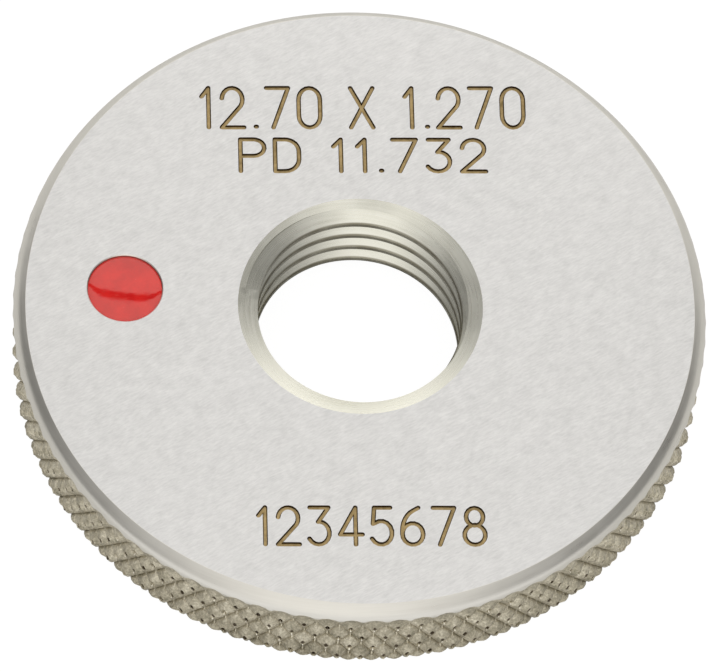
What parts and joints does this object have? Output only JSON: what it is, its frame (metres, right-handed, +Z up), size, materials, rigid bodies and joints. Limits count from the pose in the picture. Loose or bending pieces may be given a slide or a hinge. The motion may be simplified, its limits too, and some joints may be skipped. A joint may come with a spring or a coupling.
{
  "type": "thread ring gauge",
  "caption": "Flat hardened steel thread ring gauge: countersunk right-hand threaded bore, diamond-knurled rim with bevelled edges, and a red enamel marker dot on the marked face.",
  "frame": {"origin": "centre of the lower face, on the bore's axis", "axes": "+Z up along the bore's axis, from the lower face to the marked face; +Y towards the top of the marking on that face; +X away from the red marker, to the right as the marking is read"},
  "size_m": [0.038, 0.038, 0.006],
  "materials": {
    "lapped_steel": "hardened tool steel: lapped faces, ground bevels and countersinks, matt knurled rim",
    "red_enamel": "glossy enamel, slightly domed, just below the face"
  },
  "bodies": {
    "root": {"gauge_ring": "lapped_steel", "red_marker": "red_enamel"}
  },
  "joints": []
}
